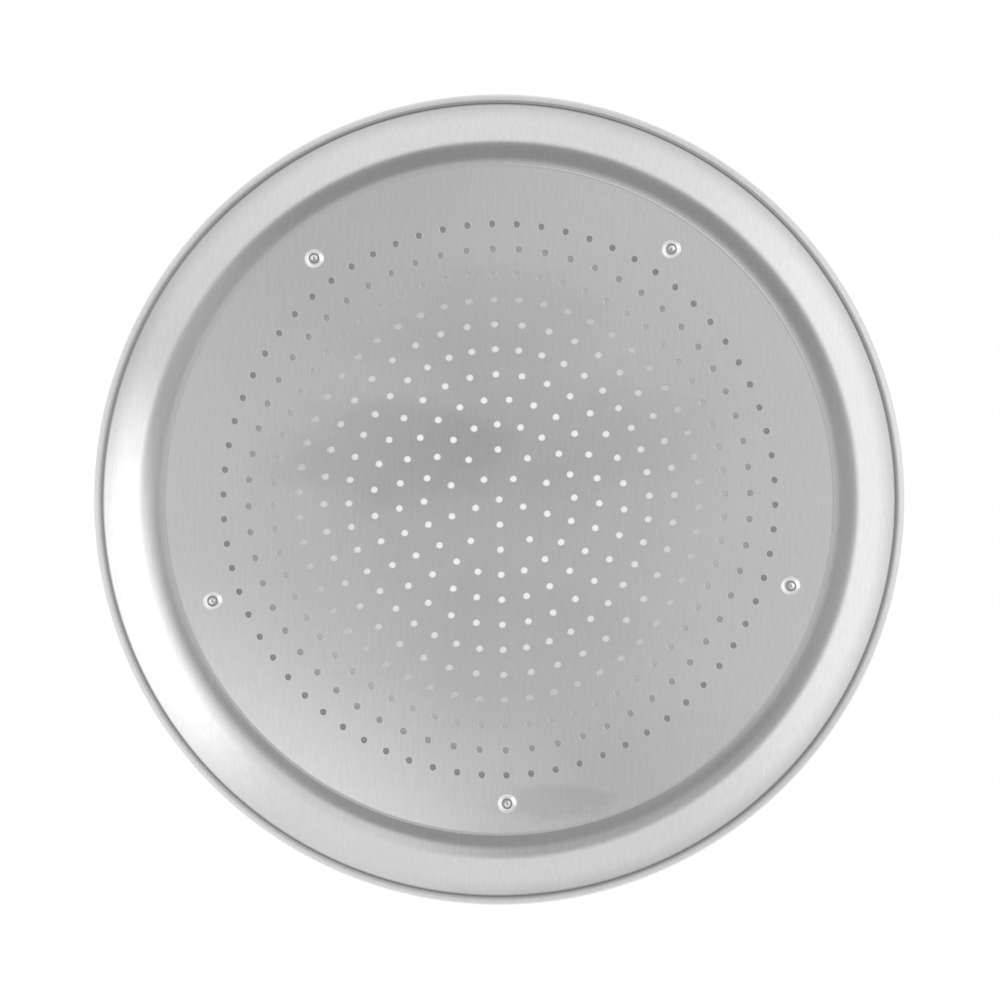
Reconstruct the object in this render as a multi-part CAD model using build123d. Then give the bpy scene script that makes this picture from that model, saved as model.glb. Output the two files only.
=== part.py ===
from build123d import *

import os
from math import cos, radians, sin, sqrt

# Round perforated pizza pan: a pressed sheet with a wired rim, standing on riveted feet.
# Millimetres and degrees. The pan is centred on the Z axis and its feet stand on Z = 0.
# One foot, and one hole of every ring, lies towards -Y.

# Pressed sheet, with each bend measured at the middle of the sheet and each angle from the
# flat base. A tight bend lifts the base's edge into a gently curved shoulder, and the
# wall goes straight on from it. The wall then rolls out, down and in round the wire, and
# stops short of a full turn by the curl's opening angle.
overall_diameter = 406.4
rim_run = 34.5
sheet_thickness = 1.0
base_bend_radius = 8.0
base_bend_angle = 12.0
shoulder_radius = 47.5
wall_angle = 28.0
curl_opening_angle = 57.0

# Wire inside the rolled rim
wire_diameter = 4.6
wire_clearance = 0.5

# Perforation: rings of round holes at an even pitch, which stop a little short of the feet
hole_diameter = 3.2
ring_pitch = 12.7
last_ring_gap = 4.0
holes_per_ring = (5, 10, 20, 25, 30, 40, 40, 50, 60, 60, 70)
first_hole_angle = -90.0

# Feet: how many, how far they stand inside the flat base's edge, and their turned shape
foot_count = 5
foot_inset = 14.8
foot_height = 8.0
foot_top_diameter = 16.0
foot_sole_diameter = 13.0
foot_collar_height = 1.6
foot_edge_radius = 0.6
recess_diameter = 9.4
recess_depth = 3.6
first_foot_angle = -90.0

# Rivets: domed head on the sheet with a sunk ring round a dimpled nib, shank through sheet
# and foot, and set tail in the foot's recess
head_diameter = 9.9
head_height = 2.1
head_edge_height = 0.3
head_ring_diameter = 5.2
head_ring_width = 0.75
head_ring_depth = 0.25
nib_top_diameter = 1.2
nib_dimple_diameter = 1.0
nib_dimple_depth = 0.3
shank_diameter = 4.76
shank_clearance = 0.08
tail_diameter = 7.4
tail_height = 1.7
tail_edge_radius = 0.7
tail_dimple_diameter = 2.6
tail_dimple_depth = 0.5

# How far a cutting tool runs past what it cuts
overrun = 1.0

# Levels and radii that follow from the sizes above
base_flat_radius = overall_diameter / 2 - rim_run
foot_circle_radius = base_flat_radius - foot_inset
last_ring_radius = foot_circle_radius - foot_top_diameter / 2 - last_ring_gap - hole_diameter / 2
base_bottom = foot_height
base_top = base_bottom + sheet_thickness
base_middle = base_bottom + sheet_thickness / 2
curl_radius = wire_diameter / 2 + wire_clearance + sheet_thickness / 2
bead_circle_radius = overall_diameter / 2 - curl_radius - sheet_thickness / 2
shank_hole_diameter = shank_diameter + 2 * shank_clearance


def bend_run(radius, from_angle, to_angle):
    """How far outwards a bend goes between two angles from the flat base."""
    return radius * (sin(radians(to_angle)) - sin(radians(from_angle)))


def wall_length():
    """Straight stretch of the wall that makes the rim reach the overall diameter."""
    run = bead_circle_radius - base_flat_radius
    run -= bend_run(base_bend_radius, 0, base_bend_angle)
    run -= bend_run(shoulder_radius, base_bend_angle, wall_angle)
    run -= bend_run(curl_radius, 0, wall_angle)
    return run / cos(radians(wall_angle))


class SheetSection:
    """Section of a bent sheet in the r-z plane, walked along the sheet's middle."""

    def __init__(self, radius, height, thickness):
        self.at = Vector(radius, height)
        self.heading = 0.0
        self.half = thickness / 2
        self.upper = []
        self.lower = []
        self.first_cap = self.sides()
        self.bend_centre = None

    def left(self):
        """Unit vector square to the heading, on the sheet's upper side."""
        return Vector(-sin(radians(self.heading)), cos(radians(self.heading)))

    def sides(self):
        """Points on the upper and lower face beside the middle."""
        return self.at + self.left() * self.half, self.at - self.left() * self.half

    def straight(self, length):
        """Runs straight on along the heading."""
        start = self.sides()
        self.at += Vector(cos(radians(self.heading)), sin(radians(self.heading))) * length
        end = self.sides()
        self.upper.append(Line(start[0], end[0]))
        self.lower.append(Line(start[1], end[1]))

    def bend(self, radius, turn):
        """Bends by an angle, upwards where it is positive, at a radius of the middle."""
        side = 1 if turn > 0 else -1
        centre = self.at + self.left() * (side * radius)
        begin = self.heading - side * 90
        self.upper.append(CenterArc(centre, radius - side * self.half, begin, turn))
        self.lower.append(CenterArc(centre, radius + side * self.half, begin, turn))
        self.heading += turn
        self.at = centre - self.left() * (side * radius)
        self.bend_centre = centre

    def face(self):
        """Closed face between the two sides of the sheet."""
        last_cap = self.sides()
        caps = [Line(*self.first_cap), Line(*last_cap)]
        return make_face(self.upper + self.lower + caps)


def pan_section():
    """Walks from the axis over base, shoulder and wall, and round the wire."""
    section = SheetSection(0, base_middle, sheet_thickness)
    section.straight(base_flat_radius)
    section.bend(base_bend_radius, base_bend_angle)
    section.bend(shoulder_radius, wall_angle - base_bend_angle)
    section.straight(wall_length())
    section.bend(curl_radius, curl_opening_angle - 360)
    return section


def revolved(face):
    """Turns a face drawn in r and z about the Z axis."""
    return revolve(Plane.XZ * face, Axis.Z)


def hole_places():
    """Centres of the centre hole and of every hole in the rings that fit inside the feet."""
    places = [Location((0, 0))]
    rings_that_fit = int(last_ring_radius // ring_pitch)
    for number, count in enumerate(holes_per_ring[:rings_that_fit], start=1):
        places += PolarLocations(number * ring_pitch, count, start_angle=first_hole_angle)
    return places


def foot_places():
    """Centres of the feet on their circle, which the rivets share."""
    return list(PolarLocations(foot_circle_radius, foot_count, start_angle=first_foot_angle))


def rod(diameter, bottom, top):
    """Cylinder on the Z axis from one level up to another."""
    return Pos(0, 0, bottom) * extrude(Circle(diameter / 2), top - bottom)


def make_pan_body():
    """Pressed sheet with its perforation, rivet holes and rolled rim."""
    sheet = revolved(pan_section().face())
    vent = rod(hole_diameter, base_bottom - overrun, base_top + overrun)
    rivet_hole = rod(shank_hole_diameter, base_bottom - overrun, base_top + overrun)
    cutters = [place * vent for place in hole_places()]
    cutters += [place * rivet_hole for place in foot_places()]
    return sheet - cutters


def make_rim_wire():
    """Round wire that the rim is rolled over."""
    centre = pan_section().bend_centre
    return Pos(0, 0, centre.Y) * Torus(centre.X, wire_diameter / 2)


def make_foot():
    """Turned foot: collar under the sheet, tapered leg, recess for the rivet's tail."""
    outline = Polyline(
        (0, 0),
        (foot_sole_diameter / 2, 0),
        (foot_top_diameter / 2, foot_height - foot_collar_height),
        (foot_top_diameter / 2, foot_height),
        (0, foot_height),
        close=True,
    )
    leg = revolved(make_face(outline))
    leg = fillet(leg.edges().filter_by(GeomType.CIRCLE).sort_by(Axis.Z)[:-1], foot_edge_radius)
    recess = rod(recess_diameter, -overrun, recess_depth)
    bore = rod(shank_hole_diameter, -overrun, foot_height + overrun)
    return leg - recess - bore


def dimple(diameter, depth, level):
    """Ball that presses a dimple of a given width and depth into the top at a level."""
    ball_radius = (diameter**2 / 4 + depth**2) / (2 * depth)
    return Pos(0, 0, level - depth + ball_radius) * Sphere(ball_radius)


def make_rivet_head():
    """Shallow dome with a sunk ring round a nib, and a dimple in the nib's top."""
    edge = head_diameter / 2
    rise = head_height - head_edge_height
    dome_radius = (edge**2 + rise**2) / (2 * rise)

    def on_dome(distance):
        """Point of the dome at a distance from the axis."""
        return distance, head_height - dome_radius + sqrt(dome_radius**2 - distance**2)

    ring = head_ring_diameter / 2
    ring_floor = on_dome(ring)[1] - head_ring_depth
    dome = ThreePointArc(on_dome(ring), on_dome((ring + edge) / 2), on_dome(edge))
    sides = Polyline(on_dome(edge), (edge, 0), (0, 0), (0, head_height))
    nib = Polyline(
        (0, head_height),
        (nib_top_diameter / 2, head_height),
        (ring - head_ring_width, ring_floor),
        (ring, ring_floor),
        on_dome(ring),
    )
    head = revolved(make_face([*dome.edges(), *sides.edges(), *nib.edges()]))
    return head - dimple(nib_dimple_diameter, nib_dimple_depth, head_height)


def make_rivet():
    """Rivet as set: head on the sheet's top, shank, and tail against the recess floor."""
    head = Pos(0, 0, base_top) * make_rivet_head()
    shank = rod(shank_diameter, recess_depth, base_top)
    tail_end = recess_depth - tail_height
    tail = rod(tail_diameter, tail_end, recess_depth)
    tail = fillet(tail.edges().filter_by(GeomType.CIRCLE).sort_by(Axis.Z)[0], tail_edge_radius)
    punch = dimple(tail_dimple_diameter, tail_dimple_depth, -tail_end)
    return head + shank + (tail - mirror(punch, Plane.XY))


def save(node, shape):
    """Writes one piece to its own file."""
    shape.label = node
    export_step(shape, f"parts/{node}.step")


def main():
    """Builds every piece in its place and writes it."""
    os.makedirs("parts", exist_ok=True)
    save("pan_body", make_pan_body())
    save("rim_wire", make_rim_wire())
    foot = make_foot()
    rivet = make_rivet()
    for number, place in enumerate(foot_places(), start=1):
        save(f"foot_{number}", place * foot)
        save(f"rivet_{number}", place * rivet)


main()
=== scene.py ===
import logging
from dataclasses import dataclass
from enum import Enum
from math import cos, radians, sin, sqrt, tau

import bmesh
import bpy
from mathutils import Matrix, Vector


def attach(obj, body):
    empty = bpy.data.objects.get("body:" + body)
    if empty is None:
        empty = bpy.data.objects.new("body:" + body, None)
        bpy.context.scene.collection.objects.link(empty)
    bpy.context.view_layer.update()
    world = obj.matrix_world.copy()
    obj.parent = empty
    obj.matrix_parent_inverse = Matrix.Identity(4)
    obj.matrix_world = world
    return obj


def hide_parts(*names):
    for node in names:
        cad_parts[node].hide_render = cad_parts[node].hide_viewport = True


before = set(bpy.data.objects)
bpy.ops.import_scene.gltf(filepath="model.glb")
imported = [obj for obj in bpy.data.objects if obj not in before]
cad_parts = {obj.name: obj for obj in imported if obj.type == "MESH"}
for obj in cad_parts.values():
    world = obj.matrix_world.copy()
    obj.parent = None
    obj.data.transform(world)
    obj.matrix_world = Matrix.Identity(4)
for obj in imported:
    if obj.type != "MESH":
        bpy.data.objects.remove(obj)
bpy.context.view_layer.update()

# Looks of a round perforated pizza pan: a pressed aluminium sheet with a wired rim, which
# stands on five riveted feet. Metres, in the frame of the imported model: Z is up, the pan is
# centred on the Z axis, and one foot lies towards -Y.

BODY = "root"
MILLIMETRES_PER_METRE = 1000

# Attributes that carry a repeated piece's own coordinates, and the faces inside the holes
OWN_PLACE = "own_place"
BORE_FACES = "bore_faces"

# Radius below which a point of a turned outline lies on the axis
AXIS_RADIUS = 1e-7

log = logging.getLogger("pizza_pan")

Point = tuple[float, float]
Triple = tuple[float, float, float]
Colour = tuple[float, float, float]
Socket = bpy.types.NodeSocket


class Grain(Enum):
    """How a metal surface was worked.

    Each value says how closely the coarse and the fine grain are set along X, Y and Z.
    """

    BRUSHED = ((1.0, 1.0, 4.0), (2.7, 4.0, 9.0))
    TURNED = ((1.0, 0.0, 1.0), (2.7, 0.0, 2.7))
    TUMBLED = ((1.0, 1.0, 1.0), (3.1, 3.1, 3.1))


@dataclass
class Wiring:
    """Adds nodes to one node tree and fills or joins their inputs."""

    tree: bpy.types.NodeTree

    def add(self, kind: str, inputs: dict | None = None, **settings: object) -> bpy.types.Node:
        """Adds one node.

        Args:
            kind: Blender's name of the node type.
            inputs: values or output sockets, by the name or number of the input.
            **settings: properties of the node itself.

        Returns:
            The new node.
        """
        node = self.tree.nodes.new(kind)
        for name, value in settings.items():
            setattr(node, name, value)
        for key, value in (inputs or {}).items():
            if isinstance(value, Socket):
                self.tree.links.new(value, node.inputs[key])
            else:
                node.inputs[key].default_value = value
        return node

    def math(self, operation: str, *values: object) -> Socket:
        """Works one sum out.

        Args:
            operation: the sum, as Blender names it.
            *values: numbers or output sockets.

        Returns:
            The result's socket.
        """
        return self.add("ShaderNodeMath", dict(enumerate(values)), operation=operation).outputs[0]

    def split(self, vector: Socket) -> list[Socket]:
        """X, Y and Z of a vector."""
        return list(self.add("ShaderNodeSeparateXYZ", {0: vector}).outputs)

    def vector(self, x: object, y: object, z: object) -> Socket:
        """Vector of three numbers or sockets."""
        return self.add("ShaderNodeCombineXYZ", {0: x, 1: y, 2: z}).outputs[0]

    def length(self, vector: Socket) -> Socket:
        """Length of a vector."""
        node = self.add("ShaderNodeVectorMath", {0: vector}, operation="LENGTH")
        return node.outputs["Value"]

    def ramp(self, value: object, low: float, high: float, start: float = 0.0, end: float = 1.0,
             kind: str = "SMOOTHSTEP") -> Socket:
        """Maps a value to a new range and holds it there.

        Args:
            value: number or socket to map.
            low: value that gives the start.
            high: value that gives the end.
            start: result at or below low.
            end: result at or above high.
            kind: Blender's name of the interpolation.

        Returns:
            The result's socket.
        """
        inputs = {0: value, 1: low, 2: high, 3: start, 4: end}
        return self.add("ShaderNodeMapRange", inputs, interpolation_type=kind).outputs[0]

    def noise(self, place: Socket, scale: Triple, detail: float = 3.0,
              roughness: float = 0.55) -> Socket:
        """Stretched noise between 0 and 1.

        Args:
            place: coordinates in metres.
            scale: cycles per metre along X, Y and Z.
            detail: number of finer octaves.
            roughness: share of each octave in the next.

        Returns:
            The noise's socket.
        """
        at = self.add("ShaderNodeMapping", {0: place, 3: scale}).outputs[0]
        settings = {0: at, 2: 1.0, 3: detail, 4: roughness}
        return self.add("ShaderNodeTexNoise", settings).outputs[0]

    def blend(self, share: object, first: object, second: object) -> Socket:
        """Mixes two colours.

        Args:
            share: share of the second colour.
            first: colour or socket.
            second: colour or socket.

        Returns:
            The mixed colour's socket.
        """
        colours = {0: share, 6: first, 7: second}
        return self.add("ShaderNodeMix", colours, data_type="RGBA").outputs[2]


def rgba(colour: Colour) -> tuple[float, float, float, float]:
    """Colour with full cover."""
    return (*colour, 1.0)


@dataclass(frozen=True)
class PaintedShadeRing:
    """Ring of painted shade about the Z axis, or a spot of it on the axis: darker colour standing
    in for the shade in a crease, groove or dimple.
    """

    radius: float
    half_width: float
    shade: float

    def share(self, wiring: Wiring, distance: Socket) -> Socket:
        """How much painted shade the ring puts on the metal at a distance from the Z axis."""
        away = wiring.math("ABSOLUTE", wiring.math("SUBTRACT", distance, self.radius))
        return wiring.ramp(away, 0.0, self.half_width, self.shade, 0.0)


@dataclass(frozen=True)
class Patch:
    """Darker patch of the sheet's colour with an uneven soft edge, centred on a place in X and Y.
    """

    centre: Point
    half_size: Point
    shade: float
    ripple_scale: float = 1.3
    ripple_size: float = 1.2
    full_within: float = 0.55
    gone_beyond: float = 1.25

    def share(self, wiring: Wiring, place: Socket) -> Socket:
        """How much the patch darkens the metal's colour at a place."""
        settings = {0: place, 1: (*self.centre, 0.0), 3: (*self.half_size, 1.0)}
        local = wiring.add("ShaderNodeMapping", settings, vector_type="TEXTURE").outputs[0]
        ripple = wiring.noise(local, (self.ripple_scale, self.ripple_scale, 0.0))
        flat = wiring.add("ShaderNodeVectorMath", {0: local, 1: (1.0, 1.0, 0.0)},
                          operation="MULTIPLY").outputs[0]
        away = wiring.length(flat)
        ripple = wiring.math("SUBTRACT", ripple, 0.5)
        away = wiring.math("MULTIPLY_ADD", ripple, self.ripple_size, away)
        return wiring.ramp(away, self.full_within, self.gone_beyond, self.shade, 0.0)


@dataclass(frozen=True)
class MetalFinish:
    """Worked metal: its colour, gloss, grain and wear, with darker patches and rings of painted
    shade in creases, grooves and dimples.
    """

    name: str
    grain: Grain
    bright: Colour
    dull: Colour
    roughness: float
    roughness_swing: float
    anisotropic: float = 0.0
    metallic: float = 1.0
    tone_range: Point = (0.35, 0.65)
    gloss_range: Point = (0.3, 0.7)
    grain_pitch: float = 0.0006
    grain_length: float = 0.05
    grain_depth: float = 4e-6
    hair_depth_share: float = 0.35
    cloud_share: float = 0.4
    dent_pitch: float = 0.05
    dent_depth: float = 0.0
    press_marks_from: float = 0.0
    press_marks_edge: float = 0.003
    press_mark_pitch: float = 0.0011
    press_mark_depth: float = 0.0
    scratch_share: float = 0.0
    scratch_edge: float = 0.02
    scratch_turn: float = 9.0
    scratch_scale: Triple = (900.0, 30.0, 60.0)
    scratch_cover: float = 0.35
    scratch_tone: Colour = (0.97, 0.97, 0.97)
    scuffed_from: float = 0.0
    scuffed_edge: float = 0.0006
    scuffed_roughness: float = 0.0
    # Rings of painted shade: darker colour standing in for the shade in creases, grooves and
    # dimples
    marks: tuple[PaintedShadeRing, ...] = ()
    painted_shade_tone: Colour = (0.05, 0.05, 0.05)
    patches: tuple[Patch, ...] = ()
    patch_tone: Colour = (0.0, 0.0, 0.0)

    def material(self) -> bpy.types.Material:
        """Builds the material.

        Returns:
            A material that reads only Object coordinates or the piece's own attribute.
        """
        made = bpy.data.materials.new(self.name)
        made.use_nodes = True
        made.diffuse_color = rgba(self.bright)
        wiring = Wiring(made.node_tree)
        shader = made.node_tree.nodes["Principled BSDF"]
        place = self._place(wiring)
        lines, hairs = self._lines(wiring, place)
        cloud = wiring.noise(place, (1 / self.dent_pitch,) * 3, detail=2.0, roughness=0.5)
        tone = wiring.ramp(self._clouded(wiring, lines, cloud), *self.tone_range)
        colour = wiring.blend(tone, rgba(self.dull), rgba(self.bright))
        low, high = self.roughness - self.roughness_swing, self.roughness + self.roughness_swing
        swing = self._clouded(wiring, hairs, cloud)
        rough = wiring.ramp(swing, *self.gloss_range, low, high, "LINEAR")
        if self.scuffed_from:
            distance = wiring.split(self._about_axis(wiring, place))[0]
            end = self.scuffed_from + self.scuffed_edge
            share = wiring.ramp(distance, self.scuffed_from, end)
            rise = self.scuffed_roughness - self.roughness
            rough = wiring.math("MULTIPLY_ADD", share, rise, rough)
        height = self._height(wiring, place, lines, hairs, cloud)
        if self.scratch_share:
            scratch = self._scratches(wiring, place)
            cut = wiring.math("MULTIPLY", scratch, self.grain_depth)
            height = wiring.math("SUBTRACT", height, cut)
            cover = wiring.math("MULTIPLY", scratch, self.scratch_cover)
            colour = wiring.blend(cover, colour, rgba(self.scratch_tone))
        # Darker patches, and rings of painted shade
        colour = self._with_patches_and_painted_shade(wiring, place, colour)
        bump = wiring.add("ShaderNodeBump", {0: 1.0, 1: 1.0, 3: height})
        links = made.node_tree.links
        links.new(colour, shader.inputs["Base Color"])
        links.new(rough, shader.inputs["Roughness"])
        links.new(bump.outputs[0], shader.inputs["Normal"])
        shader.inputs["Metallic"].default_value = self.metallic
        shader.inputs["Anisotropic"].default_value = self.anisotropic
        if self.grain is Grain.BRUSHED and self.anisotropic:
            links.new(wiring.vector(1.0, 0.0, 0.0), shader.inputs["Tangent"])
        return made

    def _place(self, wiring: Wiring) -> Socket:
        """Coordinates of the pattern: the piece's own place where it is repeated."""
        if self.grain is Grain.BRUSHED:
            return wiring.add("ShaderNodeTexCoord").outputs["Object"]
        return wiring.add("ShaderNodeAttribute", attribute_name=OWN_PLACE).outputs["Vector"]

    def _lines(self, wiring: Wiring, place: Socket) -> tuple[Socket, Socket]:
        """Coarse and fine grain, each between 0 and 1."""
        across = 1 / self.grain_pitch
        along = 1 / self.grain_length if self.grain is Grain.BRUSHED else across
        if self.grain is Grain.TURNED:
            place = self._about_axis(wiring, place)
        coarse, fine = ((across * x, along * y, along * z) for x, y, z in self.grain.value)
        lines = wiring.noise(place, coarse, detail=3.0, roughness=0.6)
        return lines, wiring.noise(place, fine, detail=2.0, roughness=0.6)

    def _clouded(self, wiring: Wiring, grain: Socket, cloud: Socket) -> Socket:
        """Grain with the soft cloud mixed in."""
        grain = wiring.math("MULTIPLY", grain, 1 - self.cloud_share)
        return wiring.math("ADD", grain, wiring.math("MULTIPLY", cloud, self.cloud_share))

    def _about_axis(self, wiring: Wiring, place: Socket) -> Socket:
        """Distance from the Z axis and height, as coordinates."""
        x, y, z = wiring.split(place)
        return wiring.vector(wiring.length(wiring.vector(x, y, 0.0)), 0.0, z)

    def _height(self, wiring: Wiring, place: Socket, lines: Socket, hairs: Socket,
                cloud: Socket) -> Socket:
        """Height in metres of grain, soft dents and press marks together."""
        height = wiring.math("MULTIPLY", lines, self.grain_depth)
        hair_depth = self.grain_depth * self.hair_depth_share
        height = wiring.math("MULTIPLY_ADD", hairs, hair_depth, height)
        if self.dent_depth:
            height = wiring.math("MULTIPLY_ADD", cloud, self.dent_depth, height)
        if self.press_mark_depth:
            rings = self._about_axis(wiring, place)
            scale = (1 / self.press_mark_pitch, 0.0, 0.0)
            marks = wiring.noise(rings, scale, detail=2.0, roughness=0.6)
            start, end = self.press_marks_from, self.press_marks_from + self.press_marks_edge
            distance = wiring.split(rings)[0]
            share = wiring.ramp(distance, start, end, 0.0, self.press_mark_depth)
            height = wiring.math("MULTIPLY_ADD", marks, share, height)
        return height

    def _with_patches_and_painted_shade(self, wiring: Wiring, place: Socket, colour: Socket) -> Socket:
        """Darkens the colour on the patches, and paints shade into it on the rings."""
        for patch in self.patches:
            colour = wiring.blend(patch.share(wiring, place), colour, rgba(self.patch_tone))
        if not self.marks:
            return colour
        distance = wiring.split(self._about_axis(wiring, place))[0]
        # Each ring paints shade into the colour
        for mark in self.marks:
            colour = wiring.blend(mark.share(wiring, distance), colour, rgba(self.painted_shade_tone))
        return colour

    def _scratches(self, wiring: Wiring, place: Socket) -> Socket:
        """Sparse fine scratches, 1 on a scratch and 0 beside it."""
        turn = (0.0, 0.0, radians(self.scratch_turn))
        turned = wiring.add("ShaderNodeMapping", {0: place, 2: turn}).outputs[0]
        streaks = wiring.noise(turned, self.scratch_scale, detail=0.0)
        start = 1.0 - self.scratch_share
        return wiring.ramp(streaks, start, start + self.scratch_edge)


SHEET = MetalFinish(
    "pressed sheet", Grain.BRUSHED, (0.91, 0.91, 0.908), (0.86, 0.86, 0.858), roughness=0.16,
    roughness_swing=0.02, anisotropic=0.4, grain_pitch=0.0014, grain_length=0.009,
    grain_depth=1.2e-6, dent_pitch=0.075, dent_depth=6e-5, press_marks_from=0.1675,
    press_mark_depth=3e-6, scratch_share=0.22, scuffed_from=0.1993, scuffed_roughness=0.5,
    # Painted shade: darker rings at the bend at the flat floor's edge and in the crease where the
    # wall runs into the rolled rim
    marks=(PaintedShadeRing(0.17035, 0.0011, 0.11), PaintedShadeRing(0.1985, 0.0015, 0.42)),
    patches=(
        Patch((-0.050, 0.026), (0.062, 0.028), 0.11), Patch((0.035, 0.034), (0.085, 0.030), 0.04),
        Patch((-0.004, 0.090), (0.065, 0.032), 0.06), Patch((0.0, -0.072), (0.075, 0.040), 0.04),
        Patch((0.025, -0.1535), (0.032, 0.009), 0.10),
    ),
)
SHEARED_EDGE = MetalFinish(
    "sheared hole edge", Grain.BRUSHED, (0.93, 0.93, 0.925), (0.80, 0.80, 0.80), roughness=0.34,
    roughness_swing=0.08, grain_pitch=0.0003, grain_length=0.002, grain_depth=1e-5,
)
TURNED_FOOT = MetalFinish(
    "turned foot", Grain.TURNED, (0.80, 0.80, 0.795), (0.70, 0.70, 0.70), roughness=0.36,
    roughness_swing=0.08, grain_pitch=0.0005, grain_depth=1.2e-5,
)
SET_RIVET = MetalFinish(
    "set rivet", Grain.TUMBLED, (0.98, 0.98, 0.975), (0.93, 0.93, 0.925), roughness=0.24,
    roughness_swing=0.05, grain_pitch=0.0012, grain_depth=2e-5, dent_pitch=0.004,
    # Painted shade in the head's pressed ring and in the nib's dimple
    marks=(PaintedShadeRing(0.00232, 0.00042, 0.88), PaintedShadeRing(0.0, 0.00068, 0.90)),
)
DRAWN_WIRE = MetalFinish(
    "drawn wire", Grain.BRUSHED, (0.58, 0.58, 0.59), (0.47, 0.47, 0.48), roughness=0.35,
    roughness_swing=0.06, grain_pitch=0.0004, grain_length=0.02, grain_depth=6e-6,
)


@dataclass(frozen=True)
class StudioFloor:
    """Pale table that keeps the pan's shadow under it and is white to the eye beyond it, with a
    painted pool of light under the pan's middle that fades outwards to the eye.
    """

    radius: float = 9.0
    segments: int = 64
    drop: float = 0.0002
    colour: Colour = (0.93, 0.93, 0.93)
    painted_light_pool: float = 0.86
    painted_light_pool_radius: float = 0.045
    painted_light_pool_end: float = 0.165
    painted_light_pool_left: float = 0.10
    shaded_radius: float = 0.188
    rim_radius: float = 0.203
    rim_white: float = 0.99
    white_radius: float = 0.30
    mirror_share: float = 0.72

    def build(self) -> bpy.types.Object:
        """Makes the floor.

        Returns:
            The floor's object.
        """
        mesh = bpy.data.meshes.new("floor")
        table = bmesh.new()
        bmesh.ops.create_circle(table, cap_ends=True, segments=self.segments, radius=self.radius)
        bmesh.ops.translate(table, verts=table.verts, vec=(0.0, 0.0, -self.drop))
        table.to_mesh(mesh)
        table.free()
        floor = bpy.data.objects.new("floor", mesh)
        bpy.context.scene.collection.objects.link(floor)
        mesh.materials.append(self._material())
        return floor

    def _material(self) -> bpy.types.Material:
        """Painted pool of light under the pan and white beyond it to camera rays, partly white
        beyond it to gloss and glass rays, and a plain pale surface to all others.
        """
        made = bpy.data.materials.new("studio floor")
        made.use_nodes = True
        wiring = Wiring(made.node_tree)
        made.node_tree.nodes.remove(made.node_tree.nodes["Principled BSDF"])
        output = made.node_tree.nodes["Material Output"]
        place = wiring.add("ShaderNodeTexCoord").outputs["Object"]
        distance = wiring.length(place)
        # Painted pool of light under the pan, seen by the camera through the holes: bright in the
        # middle and fading outwards
        painted_light_pool = wiring.ramp(distance, self.painted_light_pool_radius, self.painted_light_pool_end, self.painted_light_pool, self.painted_light_pool_left)
        near = wiring.ramp(distance, self.shaded_radius, self.rim_radius, 0.0, self.rim_white)
        far = wiring.ramp(distance, self.rim_radius, self.white_radius, 0.0, 1.0 - self.rim_white)
        beyond = wiring.math("ADD", near, far)
        seen = wiring.math("MAXIMUM", painted_light_pool, beyond)
        mirrored = wiring.math("MULTIPLY", beyond, self.mirror_share)
        light = wiring.add("ShaderNodeLightPath").outputs
        gloss = wiring.math("MAXIMUM", light["Is Glossy Ray"], light["Is Transmission Ray"])
        share = wiring.math("MAXIMUM", wiring.math("MULTIPLY", light["Is Camera Ray"], seen),
                            wiring.math("MULTIPLY", gloss, mirrored))
        matt = wiring.add("ShaderNodeBsdfDiffuse", {0: rgba(self.colour)}).outputs[0]
        white = wiring.add("ShaderNodeEmission", {0: rgba((1.0, 1.0, 1.0)), 1: 1.0}).outputs[0]
        top = wiring.add("ShaderNodeMixShader", {0: share, 1: matt, 2: white}).outputs[0]
        back = wiring.add("ShaderNodeNewGeometry").outputs["Backfacing"]
        clear = wiring.add("ShaderNodeBsdfTransparent").outputs[0]
        whole = wiring.add("ShaderNodeMixShader", {0: back, 1: top, 2: clear}).outputs[0]
        made.node_tree.links.new(whole, output.inputs["Surface"])
        return made


@dataclass(frozen=True)
class TentPanel:
    """Softly edged stretch of the light tent's cloth.

    Angles are in degrees: how far from straight up, and the compass direction from +X to +Y.
    """

    name: str
    level: float
    start: float
    edge: float
    turn: float = 0.0
    half_width: float = 180.0
    side_edge: float = 0.0
    end: float = 180.0

    def share(self, wiring: Wiring, tilt: Socket, east: Socket, north: Socket) -> Socket:
        """How much of the panel shows in a direction.

        Args:
            wiring: wiring of the world's tree.
            tilt: angle from straight up.
            east: cosine of the compass direction.
            north: sine of the compass direction.

        Returns:
            A share between 0 and 1.
        """
        share = wiring.ramp(tilt, self.start - self.edge, self.start + self.edge)
        if self.end < 180.0:
            left = wiring.ramp(tilt, self.end - self.edge, self.end + self.edge, 1.0, 0.0)
            share = wiring.math("MULTIPLY", share, left)
        if self.half_width < 180.0:
            turn = radians(self.turn)
            facing = wiring.math("MULTIPLY", north, sin(turn))
            facing = wiring.math("MULTIPLY_ADD", east, cos(turn), facing)
            outer = cos(radians(self.half_width + self.side_edge))
            inner = cos(radians(max(0.0, self.half_width - self.side_edge)))
            share = wiring.math("MULTIPLY", share, wiring.ramp(facing, outer, inner))
        share.node.label = self.name
        return share


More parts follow.
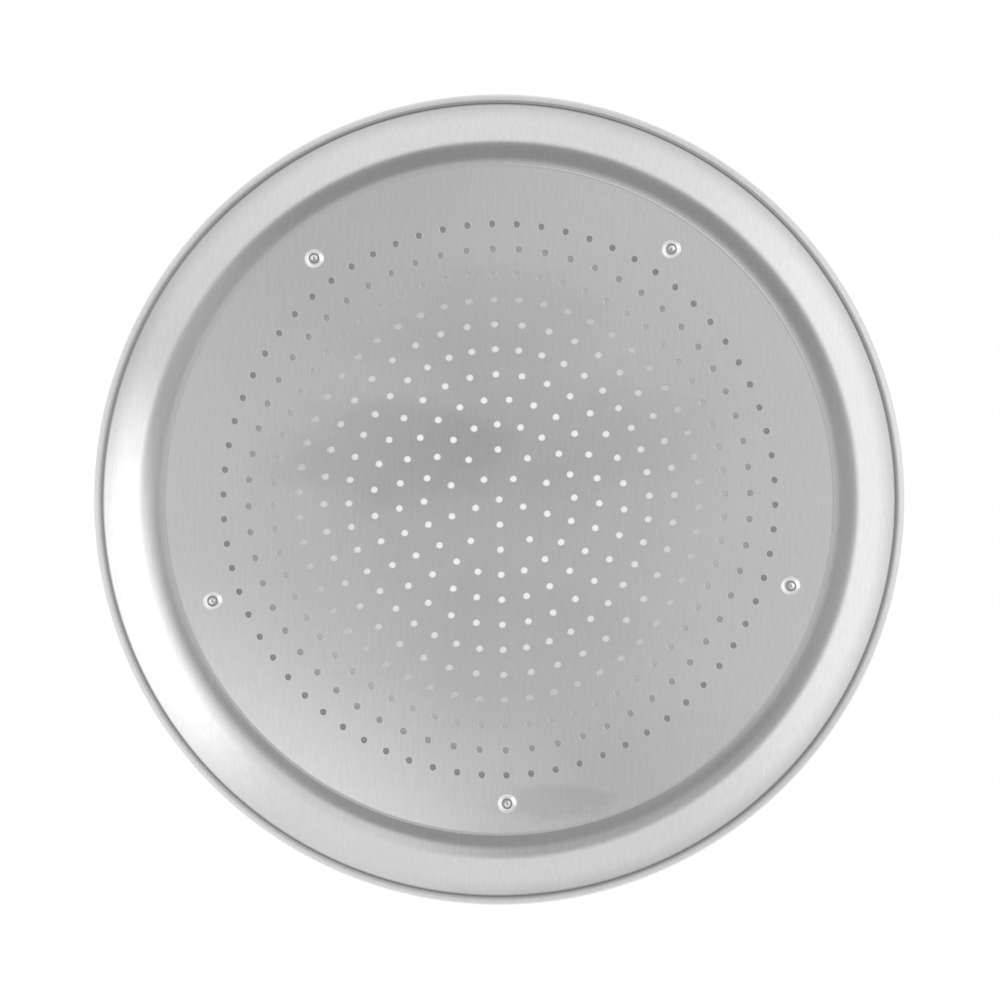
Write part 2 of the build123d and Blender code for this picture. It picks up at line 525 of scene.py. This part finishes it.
@dataclass(frozen=True)
class StudioTent:
    """Light tent round the pan: a dull ceiling, paler walls and a window at the right.

    The camera sees a plain white backdrop in its place.
    """

    backdrop: float = 1.0
    shortest_run: float = 1e-4
    zenith: float = 0.42
    zenith_edge: float = 0.62
    zenith_start: float = 1.5
    zenith_end: float = 10.5
    panels: tuple[TentPanel, ...] = (
        TentPanel("back left dusk", 0.48, 7.0, 3.0, 120.0, 20.0, 26.0, 12.5),
        TentPanel("front dusk", 0.42, 6.3, 2.5, 284.0, 14.0, 16.0, 12.5),
        TentPanel("front left flap", 1.08, 9.2, 1.4, 232.0, 20.0, 20.0, 13.0),
        TentPanel("ceiling", 0.27, 17.5, 5.0),
        TentPanel("back ceiling edge", 0.29, 13.0, 2.0, 80.0, 45.0, 25.0),
        TentPanel("left ceiling", 0.35, 21.5, 3.0, 172.0, 18.0, 20.0),
        TentPanel("front right ceiling", 0.41, 21.0, 3.0, 340.0, 14.0, 25.0),
        TentPanel("back ceiling", 0.40, 29.2, 1.8, 100.0, 32.0, 22.0),
        TentPanel("right slope", 1.10, 31.5, 12.0, 24.0, 18.0, 22.0),
        TentPanel("back right shelf", 0.67, 29.2, 1.8, 62.0, 13.0, 18.0),
        TentPanel("walls", 0.74, 42.0, 2.2),
        TentPanel("front wall", 0.81, 41.4, 2.2, 265.0, 45.0, 35.0),
        TentPanel("left wall", 1.08, 42.0, 3.2, 182.0, 30.0, 38.0),
        TentPanel("right window", 1.36, 42.5, 3.5, 13.0, 24.0, 14.0),
        TentPanel("low walls", 0.66, 64.0, 9.0),
        TentPanel("low front wall", 0.54, 64.0, 9.0, 294.0, 26.0, 18.0),
        TentPanel("low left wall", 0.90, 64.0, 9.0, 205.0, 34.0, 25.0),
        TentPanel("low right wall", 1.00, 64.0, 9.0, 5.0, 16.0, 16.0),
    )

    def build(self) -> bpy.types.World:
        """Sets the tent up as the scene's world.

        Returns:
            The world.
        """
        world = bpy.data.worlds.new("light tent")
        world.use_nodes = True
        wiring = Wiring(world.node_tree)
        way = wiring.add("ShaderNodeTexCoord").outputs["Generated"]
        aim = wiring.add("ShaderNodeVectorMath", {0: way}, operation="NORMALIZE").outputs[0]
        x, y, z = wiring.split(aim)
        tilt = wiring.math("DEGREES", wiring.math("ARCCOSINE", z))
        run = wiring.math("MAXIMUM", wiring.length(wiring.vector(x, y, 0.0)), self.shortest_run)
        east, north = wiring.math("DIVIDE", x, run), wiring.math("DIVIDE", y, run)
        level = wiring.ramp(
            tilt, self.zenith_start, self.zenith_end, self.zenith, self.zenith_edge)
        for panel in self.panels:
            share = panel.share(wiring, tilt, east, north)
            change = wiring.math("SUBTRACT", panel.level, level)
            level = wiring.math("MULTIPLY_ADD", share, change, level)
        seen = wiring.add("ShaderNodeLightPath").outputs["Is Camera Ray"]
        change = wiring.math("SUBTRACT", self.backdrop, level)
        level = wiring.math("MULTIPLY_ADD", seen, change, level)
        light = world.node_tree.nodes["Background"].inputs
        world.node_tree.links.new(level, light["Color"])
        light["Strength"].default_value = 1.0
        bpy.context.scene.world = world
        return world


@dataclass(frozen=True)
class PhotoCamera:
    """Camera straight above the pan, turned by a small roll."""

    distance: float = 1.0
    roll: float = 1.5
    millimetres_per_pixel: float = 0.50655
    frame_pixels: float = 1000.0
    sensor: float = 36.0
    aim: Triple = (0.00038, -0.00023, 0.009)

    def build(self) -> bpy.types.Object:
        """Makes the scene's camera.

        Returns:
            The camera's object.
        """
        data = bpy.data.cameras.new("photo camera")
        data.sensor_width = self.sensor
        across = self.millimetres_per_pixel * self.frame_pixels / MILLIMETRES_PER_METRE
        data.lens = self.sensor * self.distance / across
        camera = bpy.data.objects.new("photo camera", data)
        bpy.context.scene.collection.objects.link(camera)
        raised = Vector(self.aim) + Vector((0.0, 0.0, self.distance))
        turn = Matrix.Rotation(-radians(self.roll), 4, "Z")
        camera.matrix_world = Matrix.Translation(raised) @ turn
        bpy.context.scene.camera = camera
        return camera


class SheetSection:
    """Section of a bent sheet, kept as points on both faces while its middle is walked."""

    def __init__(self, radius: float, height: float, thickness: float) -> None:
        """Starts on the sheet's middle, heading outwards.

        Args:
            radius: distance from the Z axis.
            height: level of the sheet's middle.
            thickness: thickness of the sheet.
        """
        self.at = Vector((radius, height))
        self.heading = 0.0
        self.half = thickness / 2
        self.upper: list[Point] = []
        self.lower: list[Point] = []
        self.mark()

    def left(self) -> Vector:
        """Unit vector square to the heading, on the sheet's upper side."""
        return Vector((-sin(self.heading), cos(self.heading)))

    def mark(self) -> None:
        """Keeps the points on both faces beside the middle."""
        self.upper.append(tuple(self.at + self.left() * self.half))
        self.lower.append(tuple(self.at - self.left() * self.half))

    def straight(self, length: float, steps: int = 1) -> None:
        """Runs straight on.

        Args:
            length: length of the run.
            steps: number of equal stretches.
        """
        for _ in range(steps):
            self.at += Vector((cos(self.heading), sin(self.heading))) * (length / steps)
            self.mark()

    def bend(self, radius: float, turn: float, steps: int) -> None:
        """Bends the sheet.

        Args:
            radius: radius of the sheet's middle.
            turn: angle in radians, upwards where it is positive.
            steps: number of stretches.
        """
        side = 1 if turn > 0 else -1
        centre = self.at + self.left() * (side * radius)
        for _ in range(steps):
            self.heading += turn / steps
            self.at = centre - self.left() * (side * radius)
            self.mark()

    def outline(self) -> list[Point]:
        """Points along the upper face, round the end and back along the lower face."""
        return self.upper + self.lower[::-1]


def lathe(name: str, outline: list[Point], facets: int, closed: bool = True) -> bpy.types.Object:
    """Turns an outline about the Z axis.

    Args:
        name: name of the new object.
        outline: radius and height of each point, with one on the axis given as radius 0.
        facets: number of flat sides round the axis.
        closed: whether faces are turned outwards, as on a closed piece.

    Returns:
        An object at the origin with smooth faces.
    """
    shape = bmesh.new()
    rings = []
    for radius, height in outline:
        if radius < AXIS_RADIUS:
            rings.append([shape.verts.new((0.0, 0.0, height))] * facets)
        else:
            turns = [tau * i / facets for i in range(facets)]
            spots = [(radius * cos(turn), radius * sin(turn), height) for turn in turns]
            rings.append([shape.verts.new(spot) for spot in spots])
    for inner, outer in zip(rings, rings[1:]):
        for i in range(facets):
            j = (i + 1) % facets
            corners = list(dict.fromkeys((inner[i], outer[i], outer[j], inner[j])))
            if len(corners) > 2:
                shape.faces.new(corners)
    if closed:
        bmesh.ops.recalc_face_normals(shape, faces=shape.faces)
    for face in shape.faces:
        face.smooth = True
    mesh = bpy.data.meshes.new(name)
    shape.to_mesh(mesh)
    shape.free()
    made = bpy.data.objects.new(name, mesh)
    bpy.context.scene.collection.objects.link(made)
    return made


def arc(centre: Point, radius: float, start: float, turn: float, steps: int) -> list[Point]:
    """Points of an arc, both ends included.

    Args:
        centre: centre of the arc.
        radius: radius of the arc.
        start: angle of the first point in degrees.
        turn: angle to the last point in degrees.
        steps: number of stretches.

    Returns:
        The points in order.
    """
    angles = [radians(start + turn * i / steps) for i in range(steps + 1)]
    return [(centre[0] + radius * cos(a), centre[1] + radius * sin(a)) for a in angles]


def bowl(radius: float, depth: float, steps: int) -> list[Point]:
    """Points of a dimple, from its middle out to its edge.

    Args:
        radius: radius of the dimple.
        depth: depth at its middle.
        steps: number of stretches.

    Returns:
        Distance from the axis and depth of each point.
    """
    radii = [radius * i / steps for i in range(steps + 1)]
    return [(r, depth * (1 - (r / radius) ** 2)) for r in radii]


class ShapeTree:
    """A geometry node tree with named inputs, put on one object and then made a plain mesh."""

    def __init__(self, name: str) -> None:
        """Starts an empty tree.

        Args:
            name: name of the tree and of its modifier.
        """
        self.name = name
        self.tree = bpy.data.node_groups.new(name, "GeometryNodeTree")
        self.wiring = Wiring(self.tree)
        self.values: dict[str, object] = {}
        for side in ("INPUT", "OUTPUT"):
            self.tree.interface.new_socket(
                "Geometry", in_out=side, socket_type="NodeSocketGeometry")
        self.entry = self.tree.nodes.new("NodeGroupInput")
        self.exit = self.tree.nodes.new("NodeGroupOutput")

    def size(self, name: str, value: object, kind: str = "Float") -> Socket:
        """Adds a named input.

        Args:
            name: name of the input.
            value: value that the modifier gives it.
            kind: Blender's name of the socket's kind.

        Returns:
            The socket to join to nodes.
        """
        socket = self.tree.interface.new_socket(
            name, in_out="INPUT", socket_type=f"NodeSocket{kind}")
        self.values[socket.identifier] = value
        return self.entry.outputs[name]

    def add(self, kind: str, inputs: dict | None = None, **settings: object) -> Socket:
        """Adds a node and returns its first output."""
        return self.wiring.add(kind, inputs, **settings).outputs[0]

    def real(self, geometry: Socket) -> Socket:
        """Turns instances into plain geometry."""
        return self.add("GeometryNodeRealizeInstances", {"Geometry": geometry})

    def copies(self, places: Socket, one: Socket, turn: object = (0.0, 0.0, 0.0)) -> Socket:
        """Sets a copy of a piece of geometry on each point, turned where that is asked."""
        inputs = {"Points": places, "Instance": one, "Rotation": turn}
        return self.add("GeometryNodeInstanceOnPoints", inputs)

    def circle(self, corners: object, radius: object) -> Socket:
        """Points set evenly on a circle, joined by edges."""
        inputs = {"Vertices": corners, "Radius": radius}
        return self.add("GeometryNodeMeshCircle", inputs, fill_type="NONE")

    def loop(self, corners: object, radius: object) -> Socket:
        """Closed curve round a circle."""
        inputs = {"Resolution": corners, "Radius": radius}
        return self.add("GeometryNodeCurvePrimitiveCircle", inputs)

    def sleeve(self, corners: object, top: object, bottom: object, depth: float) -> Socket:
        """Open cone that stands on the XY plane."""
        inputs = {"Vertices": corners, "Side Segments": 1, "Radius Top": top,
                  "Radius Bottom": bottom, "Depth": depth}
        return self.add("GeometryNodeMeshCone", inputs, fill_type="NONE")

    def join(self, *parts: Socket) -> Socket:
        """Joins pieces of geometry."""
        node = self.tree.nodes.new("GeometryNodeJoinGeometry")
        for part in reversed(parts):
            self.tree.links.new(part, node.inputs[0])
        return node.outputs[0]

    def moved(self, part: Socket, height: object = 0.0, turn: object = 0.0) -> Socket:
        """Lifts a piece and turns it about the Z axis.

        Args:
            part: geometry to move.
            height: how far it goes up.
            turn: angle in radians.

        Returns:
            The moved geometry.
        """
        node = self.wiring.add("GeometryNodeTransform", {"Geometry": part})
        for value, key in ((height, "Translation"), (turn, "Rotation")):
            self.tree.links.new(self.wiring.vector(0.0, 0.0, value), node.inputs[key])
        return node.outputs[0]

    def apply(self, target: bpy.types.Object, result: Socket) -> bpy.types.Object:
        """Runs the tree on an object and keeps the result as its plain mesh.

        Args:
            target: object that carries the tree's first geometry.
            result: geometry that the tree gives.

        Returns:
            The same object with its new mesh and no modifier.
        """
        self.tree.links.new(result, self.exit.inputs[0])
        modifier = target.modifiers.new(self.name, "NODES")
        modifier.node_group = self.tree
        for identifier, value in self.values.items():
            modifier[identifier] = value
        depsgraph = bpy.context.evaluated_depsgraph_get()
        finished = bpy.data.meshes.new_from_object(target.evaluated_get(depsgraph))
        target.modifiers.clear()
        finished.name = target.name
        target.data = finished
        return target


def ring_of_copies(name: str, master: bpy.types.Object, count: int, circle: float,
                   first_turn: float, material: bpy.types.Material,
                   seed: int) -> bpy.types.Object:
    """Sets copies of one turned piece on a circle, each turned by chance about its own axis.

    Args:
        name: name of the tree.
        master: one piece at the origin.
        count: number of copies.
        circle: radius of the circle.
        first_turn: direction of the first copy in degrees.
        material: finish of all copies.
        seed: seed of the turns.

    Returns:
        The master's object, now with all copies in its mesh.
    """
    shape = ShapeTree(name)
    number = shape.size("Count", count, "Int")
    radius = shape.size("Circle Radius", circle)
    turn = shape.size("First Turn", radians(first_turn))
    chance = shape.size("Seed", seed, "Int")
    finish = shape.size("Finish", material, "Material")
    place = shape.add("GeometryNodeInputPosition")
    tagged = shape.add("GeometryNodeStoreNamedAttribute",
                       {"Geometry": shape.entry.outputs[0], "Name": OWN_PLACE, "Value": place},
                       data_type="FLOAT_VECTOR", domain="POINT")
    spots = shape.moved(shape.circle(number, radius), 0.0, turn)
    limits = {"Min": (0.0, 0.0, 0.0), "Max": (0.0, 0.0, tau), "Seed": chance}
    spin = shape.add("FunctionNodeRandomValue", limits, data_type="FLOAT_VECTOR")
    whole = shape.real(shape.copies(spots, tagged, spin))
    whole = shape.add("GeometryNodeSetMaterial", {"Geometry": whole, "Material": finish})
    return shape.apply(master, whole)


@dataclass(frozen=True)
class HolePlan:
    """Sockets that the sheet's floor and the walls of its holes share."""

    places: Socket
    facets: Socket
    rivet_places: Socket
    rivet_radius: Socket


@dataclass
class PanSheet:
    """Pressed sheet: perforated floor, raised wall and rim rolled over its wire."""

    overall_radius: float = 0.2032
    rim_run: float = 0.0345
    thickness: float = 0.001
    floor_bottom: float = 0.008
    base_bend_radius: float = 0.008
    base_bend_angle: float = 12.0
    shoulder_radius: float = 0.0475
    wall_angle: float = 28.0
    curl_radius: float = 0.0033
    curl_opening_angle: float = 57.0
    base_bend_steps: int = 8
    shoulder_steps: int = 14
    wall_steps: int = 2
    curl_steps: int = 44
    facets: int = 360
    seam: float = 2e-6
    hole_radius: float = 0.0016
    mouth_roll: float = 0.00026
    mouth_knee: Point = (0.32, 0.30)
    ring_pitch: float = 0.0127
    holes_per_ring: tuple[int, ...] = (5, 10, 20, 25, 30, 40, 40, 50, 60, 60, 70)
    first_turn: float = -90.0
    hole_facets: int = 16
    rivet_count: int = 5
    rivet_circle: float = 0.1539
    rivet_hole_radius: float = 0.00246
    rivet_hole_facets: int = 32

    @property
    def flat_radius(self) -> float:
        """Radius of the flat floor."""
        return self.overall_radius - self.rim_run

    def section(self) -> SheetSection:
        """Walks from the flat floor's edge over shoulder and wall, and round the wire."""
        start, wall = radians(self.base_bend_angle), radians(self.wall_angle)
        run = self.overall_radius - self.curl_radius - self.thickness / 2 - self.flat_radius
        run -= self.base_bend_radius * sin(start) + self.shoulder_radius * (sin(wall) - sin(start))
        run -= self.curl_radius * sin(wall)
        middle = self.floor_bottom + self.thickness / 2
        walk = SheetSection(self.flat_radius, middle, self.thickness)
        walk.bend(self.base_bend_radius, start, self.base_bend_steps)
        walk.bend(self.shoulder_radius, wall - start, self.shoulder_steps)
        walk.straight(run / cos(wall), self.wall_steps)
        walk.bend(self.curl_radius, radians(self.curl_opening_angle) - tau, self.curl_steps)
        return walk

    def build(self, sheet: bpy.types.Material, edge: bpy.types.Material) -> bpy.types.Object:
        """Makes the whole sheet.

        Args:
            sheet: finish of the sheet.
            edge: finish of the holes' walls.

        Returns:
            The sheet's object.
        """
        rim = lathe("pan_sheet", self.section().outline(), self.facets, closed=False)
        shape = ShapeTree("perforated floor")
        plan = self._plan(shape)
        floor = self._floor(shape, plan)
        linings = self._linings(shape, plan)
        faces = shape.size("Sheet Finish", sheet, "Material")
        bores = shape.size("Edge Finish", edge, "Material")
        whole = shape.real(shape.join(shape.entry.outputs[0], floor, linings))
        joined = {"Geometry": whole, "Distance": self.seam}
        whole = shape.add("GeometryNodeMergeByDistance", joined)
        whole = shape.add("GeometryNodeSetMaterial", {"Geometry": whole, "Material": faces})
        tagged = shape.add("GeometryNodeInputNamedAttribute", {"Name": BORE_FACES},
                           data_type="BOOLEAN")
        lined = {"Geometry": whole, "Selection": tagged, "Material": bores}
        whole = shape.add("GeometryNodeSetMaterial", lined)
        made = shape.apply(rim, whole)
        return self._turned_outwards(made)

    def _plan(self, shape: ShapeTree) -> HolePlan:
        """Sets out the centre hole, the rings of holes and the rivets' holes."""
        pitch = shape.size("Ring Pitch", self.ring_pitch)
        turn = shape.size("First Turn", radians(self.first_turn))
        rings = [shape.add("GeometryNodeMeshLine", {"Count": 1, "Offset": (0.0, 0.0, 0.0)})]
        for number, count in enumerate(self.holes_per_ring, start=1):
            rings.append(shape.circle(count, shape.wiring.math("MULTIPLY", pitch, float(number))))
        rivets = shape.circle(
            self.rivet_count, shape.size("Rivet Circle Radius", self.rivet_circle))
        return HolePlan(
            places=shape.moved(shape.join(*rings), 0.0, turn),
            facets=shape.size("Hole Facets", self.hole_facets, "Int"),
            rivet_places=shape.moved(rivets, 0.0, turn),
            rivet_radius=shape.size("Rivet Hole Radius", self.rivet_hole_radius),
        )

    def _floor(self, shape: ShapeTree, plan: HolePlan) -> Socket:
        """Flat upper and lower face with every hole's mouth left open."""
        mouth = shape.size("Mouth Radius", self.hole_radius + self.mouth_roll)
        outer = shape.loop(self.facets, shape.size("Flat Radius", self.flat_radius))
        holes = shape.real(shape.copies(plan.places, shape.loop(plan.facets, mouth)))
        seat = shape.loop(self.rivet_hole_facets, plan.rivet_radius)
        seats = shape.real(shape.copies(plan.rivet_places, seat))
        plate = shape.add("GeometryNodeFillCurve", {"Curve": shape.join(outer, holes, seats)},
                          mode="TRIANGLES")
        plate = shape.add("GeometryNodeSetShadeSmooth",
                          {"Geometry": plate, "Shade Smooth": False}, domain="FACE")
        upper = shape.moved(plate, self.floor_bottom + self.thickness)
        lower = shape.add("GeometryNodeFlipFaces", {"Mesh": shape.moved(plate, self.floor_bottom)})
        return shape.join(upper, lower)

    def _linings(self, shape: ShapeTree, plan: HolePlan) -> Socket:
        """Walls of all holes: rolled mouth, land and the wider torn exit."""
        top, roll, bore = self.floor_bottom + self.thickness, self.mouth_roll, self.hole_radius
        knee_out, knee_down = self.mouth_knee
        levels = [
            (bore + roll, top),
            (bore + roll * knee_out, top - roll * knee_down),
            (bore, top - roll),
            (bore + roll, self.floor_bottom),
        ]
        strips = []
        for (wide, high), (narrow, low) in zip(levels, levels[1:]):
            strips.append(shape.moved(shape.sleeve(plan.facets, wide, narrow, high - low), low))
        lining = shape.add("GeometryNodeFlipFaces", {"Mesh": shape.join(*strips)})
        lining = shape.add("GeometryNodeStoreNamedAttribute",
                           {"Geometry": lining, "Name": BORE_FACES, "Value": True},
                           data_type="BOOLEAN", domain="FACE")
        radius = plan.rivet_radius
        seat = shape.sleeve(self.rivet_hole_facets, radius, radius, self.thickness)
        seat = shape.add("GeometryNodeFlipFaces", {"Mesh": shape.moved(seat, self.floor_bottom)})
        linings = shape.copies(plan.places, lining)
        return shape.join(linings, shape.copies(plan.rivet_places, seat))

    def _turned_outwards(self, made: bpy.types.Object) -> bpy.types.Object:
        """Turns every face of the closed sheet outwards."""
        shape = bmesh.new()
        shape.from_mesh(made.data)
        bmesh.ops.recalc_face_normals(shape, faces=shape.faces)
        open_edges = sum(1 for edge in shape.edges if not edge.is_manifold)
        shape.to_mesh(made.data)
        shape.free()
        log.info("pan_sheet: %d faces, %d open edges", len(made.data.polygons), open_edges)
        return made


@dataclass
class RivetSet:
    """Rivets: domed head with a pressed ring round a dimpled nib, shank, and set tail."""

    count: int = 5
    circle: float = 0.1539
    first_turn: float = -90.0
    sheet_top: float = 0.009
    head_radius: float = 0.00495
    head_height: float = 0.0021
    head_edge_height: float = 0.0003
    head_edge_taper: float = 0.00006
    ring_radius: float = 0.0026
    ring_width: float = 0.00075
    ring_depth: float = 0.00025
    nib_top_radius: float = 0.0006
    dimple_radius: float = 0.0005
    dimple_depth: float = 0.0003
    crest_width: float = 0.0001
    crest_drop: float = 0.00003
    dome_steps: int = 10
    curve_steps: int = 5
    shank_radius: float = 0.00238
    tail_top: float = 0.0036
    tail_radius: float = 0.0037
    tail_height: float = 0.0017
    tail_edge: float = 0.0007
    tail_dimple_radius: float = 0.0013
    tail_dimple_depth: float = 0.0005
    facets: int = 48
    seed: int = 7

    def dome_level(self, distance: float) -> float:
        """Height of the head's dome over the sheet at a distance from the axis."""
        rise = self.head_height - self.head_edge_height
        ball = (self.head_radius**2 + rise**2) / (2 * rise)
        return self.head_height - ball + sqrt(ball**2 - distance**2)

    def outline(self) -> list[Point]:
        """Outline of one rivet from the top of its axis to the bottom."""
        height, ring, edge = self.head_height, self.ring_radius, self.head_edge_height
        floor = self.dome_level(ring) - self.ring_depth
        head = [(r, height - down)
                for r, down in bowl(self.dimple_radius, self.dimple_depth, self.curve_steps)]
        head += [
            (self.nib_top_radius, height),
            (self.nib_top_radius + self.crest_width, height - self.crest_drop),
            (ring - self.ring_width, floor),
            (ring - self.crest_width, floor),
            (ring - self.crest_drop, floor + self.ring_depth - self.crest_drop),
        ]
        for i in range(self.dome_steps):
            r = ring + (self.head_radius - ring) * i / self.dome_steps
            head.append((r, self.dome_level(r)))
        head += [(self.head_radius, edge), (self.head_radius - self.head_edge_taper, 0.0)]
        points = [(r, self.sheet_top + level) for r, level in head]
        points += [(self.shank_radius, self.sheet_top), (self.shank_radius, self.tail_top)]
        points += [(self.tail_radius, self.tail_top)]
        bottom = self.tail_top - self.tail_height
        round_off = (self.tail_radius - self.tail_edge, bottom + self.tail_edge)
        points += arc(round_off, self.tail_edge, 0, -90, self.curve_steps)
        dent = bowl(self.tail_dimple_radius, self.tail_dimple_depth, self.curve_steps)
        return points + [(r, bottom + up) for r, up in reversed(dent)]

    def build(self, finish: bpy.types.Material) -> bpy.types.Object:
        """Makes all rivets as one piece."""
        one = lathe("rivets", self.outline(), self.facets)
        return ring_of_copies("rivets on their circle", one, self.count, self.circle,
                              self.first_turn, finish, self.seed)


@dataclass
class FootSet:
    """Turned feet: collar under the sheet, tapered leg and recess for the rivet's tail."""

    count: int = 5
    circle: float = 0.1539
    first_turn: float = -90.0
    height: float = 0.008
    top_radius: float = 0.008
    sole_radius: float = 0.0065
    collar_height: float = 0.0016
    edge_radius: float = 0.0006
    top_edge_radius: float = 0.00015
    flank_angle: float = -8.0
    flank_foot_out: float = 0.00035
    flank_foot_level: float = 0.00096
    collar_edge_lift: float = 0.00024
    collar_edge_turn: float = -46.0
    sole_edge_turn: float = -82.0
    recess_radius: float = 0.0047
    recess_mouth: float = 0.0002
    recess_corner: float = 0.0003
    recess_depth: float = 0.0036
    bore_radius: float = 0.00246
    facets: int = 64
    seed: int = 3

    def outline(self) -> list[Point]:
        """Closed outline of one foot, round from the bore's top."""
        edge, top_edge = self.edge_radius, self.top_edge_radius
        shoulder = self.height - self.collar_height + self.collar_edge_lift
        recess, depth = self.recess_radius, self.recess_depth
        points = [(self.bore_radius, self.height)]
        points += arc((self.top_radius - top_edge, self.height - top_edge), top_edge, 90, -90, 3)
        points += arc((self.top_radius - edge, shoulder), edge, self.flank_angle,
                      self.collar_edge_turn, 4)
        points += [(self.sole_radius + self.flank_foot_out, self.flank_foot_level)]
        points += arc((self.sole_radius - edge, edge), edge, self.flank_angle,
                      self.sole_edge_turn, 5)
        points += [(recess + self.recess_mouth, 0.0), (recess, self.recess_mouth)]
        points += [(recess, depth - self.recess_corner), (recess - self.recess_corner, depth)]
        points += [(self.bore_radius, depth), (self.bore_radius, self.height)]
        return points

    def build(self, finish: bpy.types.Material) -> bpy.types.Object:
        """Makes all feet as one piece."""
        one = lathe("feet", self.outline(), self.facets)
        shape = bmesh.new()
        shape.from_mesh(one.data)
        bmesh.ops.remove_doubles(shape, verts=shape.verts, dist=AXIS_RADIUS)
        bmesh.ops.recalc_face_normals(shape, faces=shape.faces)
        shape.to_mesh(one.data)
        shape.free()
        return ring_of_copies("feet on their circle", one, self.count, self.circle,
                              self.first_turn, finish, self.seed)


def numbered(stem: str, count: int) -> list[str]:
    """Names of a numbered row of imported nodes."""
    return [f"{stem}_{number}" for number in range(1, count + 1)]


def main() -> None:
    """Builds the studio and every piece of the pan, in order."""
    logging.basicConfig(level=logging.INFO, format="%(message)s")
    bpy.context.scene.view_settings.view_transform = "Standard"
    StudioFloor().build()
    StudioTent().build()
    PhotoCamera().build()

    sheet = PanSheet().build(SHEET.material(), SHEARED_EDGE.material())
    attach(sheet, BODY)
    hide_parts("pan_body")

    feet = FootSet().build(TURNED_FOOT.material())
    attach(feet, BODY)
    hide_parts(*numbered("foot", FootSet.count))

    rivets = RivetSet().build(SET_RIVET.material())
    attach(rivets, BODY)
    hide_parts(*numbered("rivet", RivetSet.count))

    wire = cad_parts["rim_wire"]
    wire.data.materials.clear()
    wire.data.materials.append(DRAWN_WIRE.material())

    for piece in (sheet, feet, rivets, wire):
        log.info("%s: %d faces", piece.name, len(piece.data.polygons))


if __name__ == "__main__":
    main()
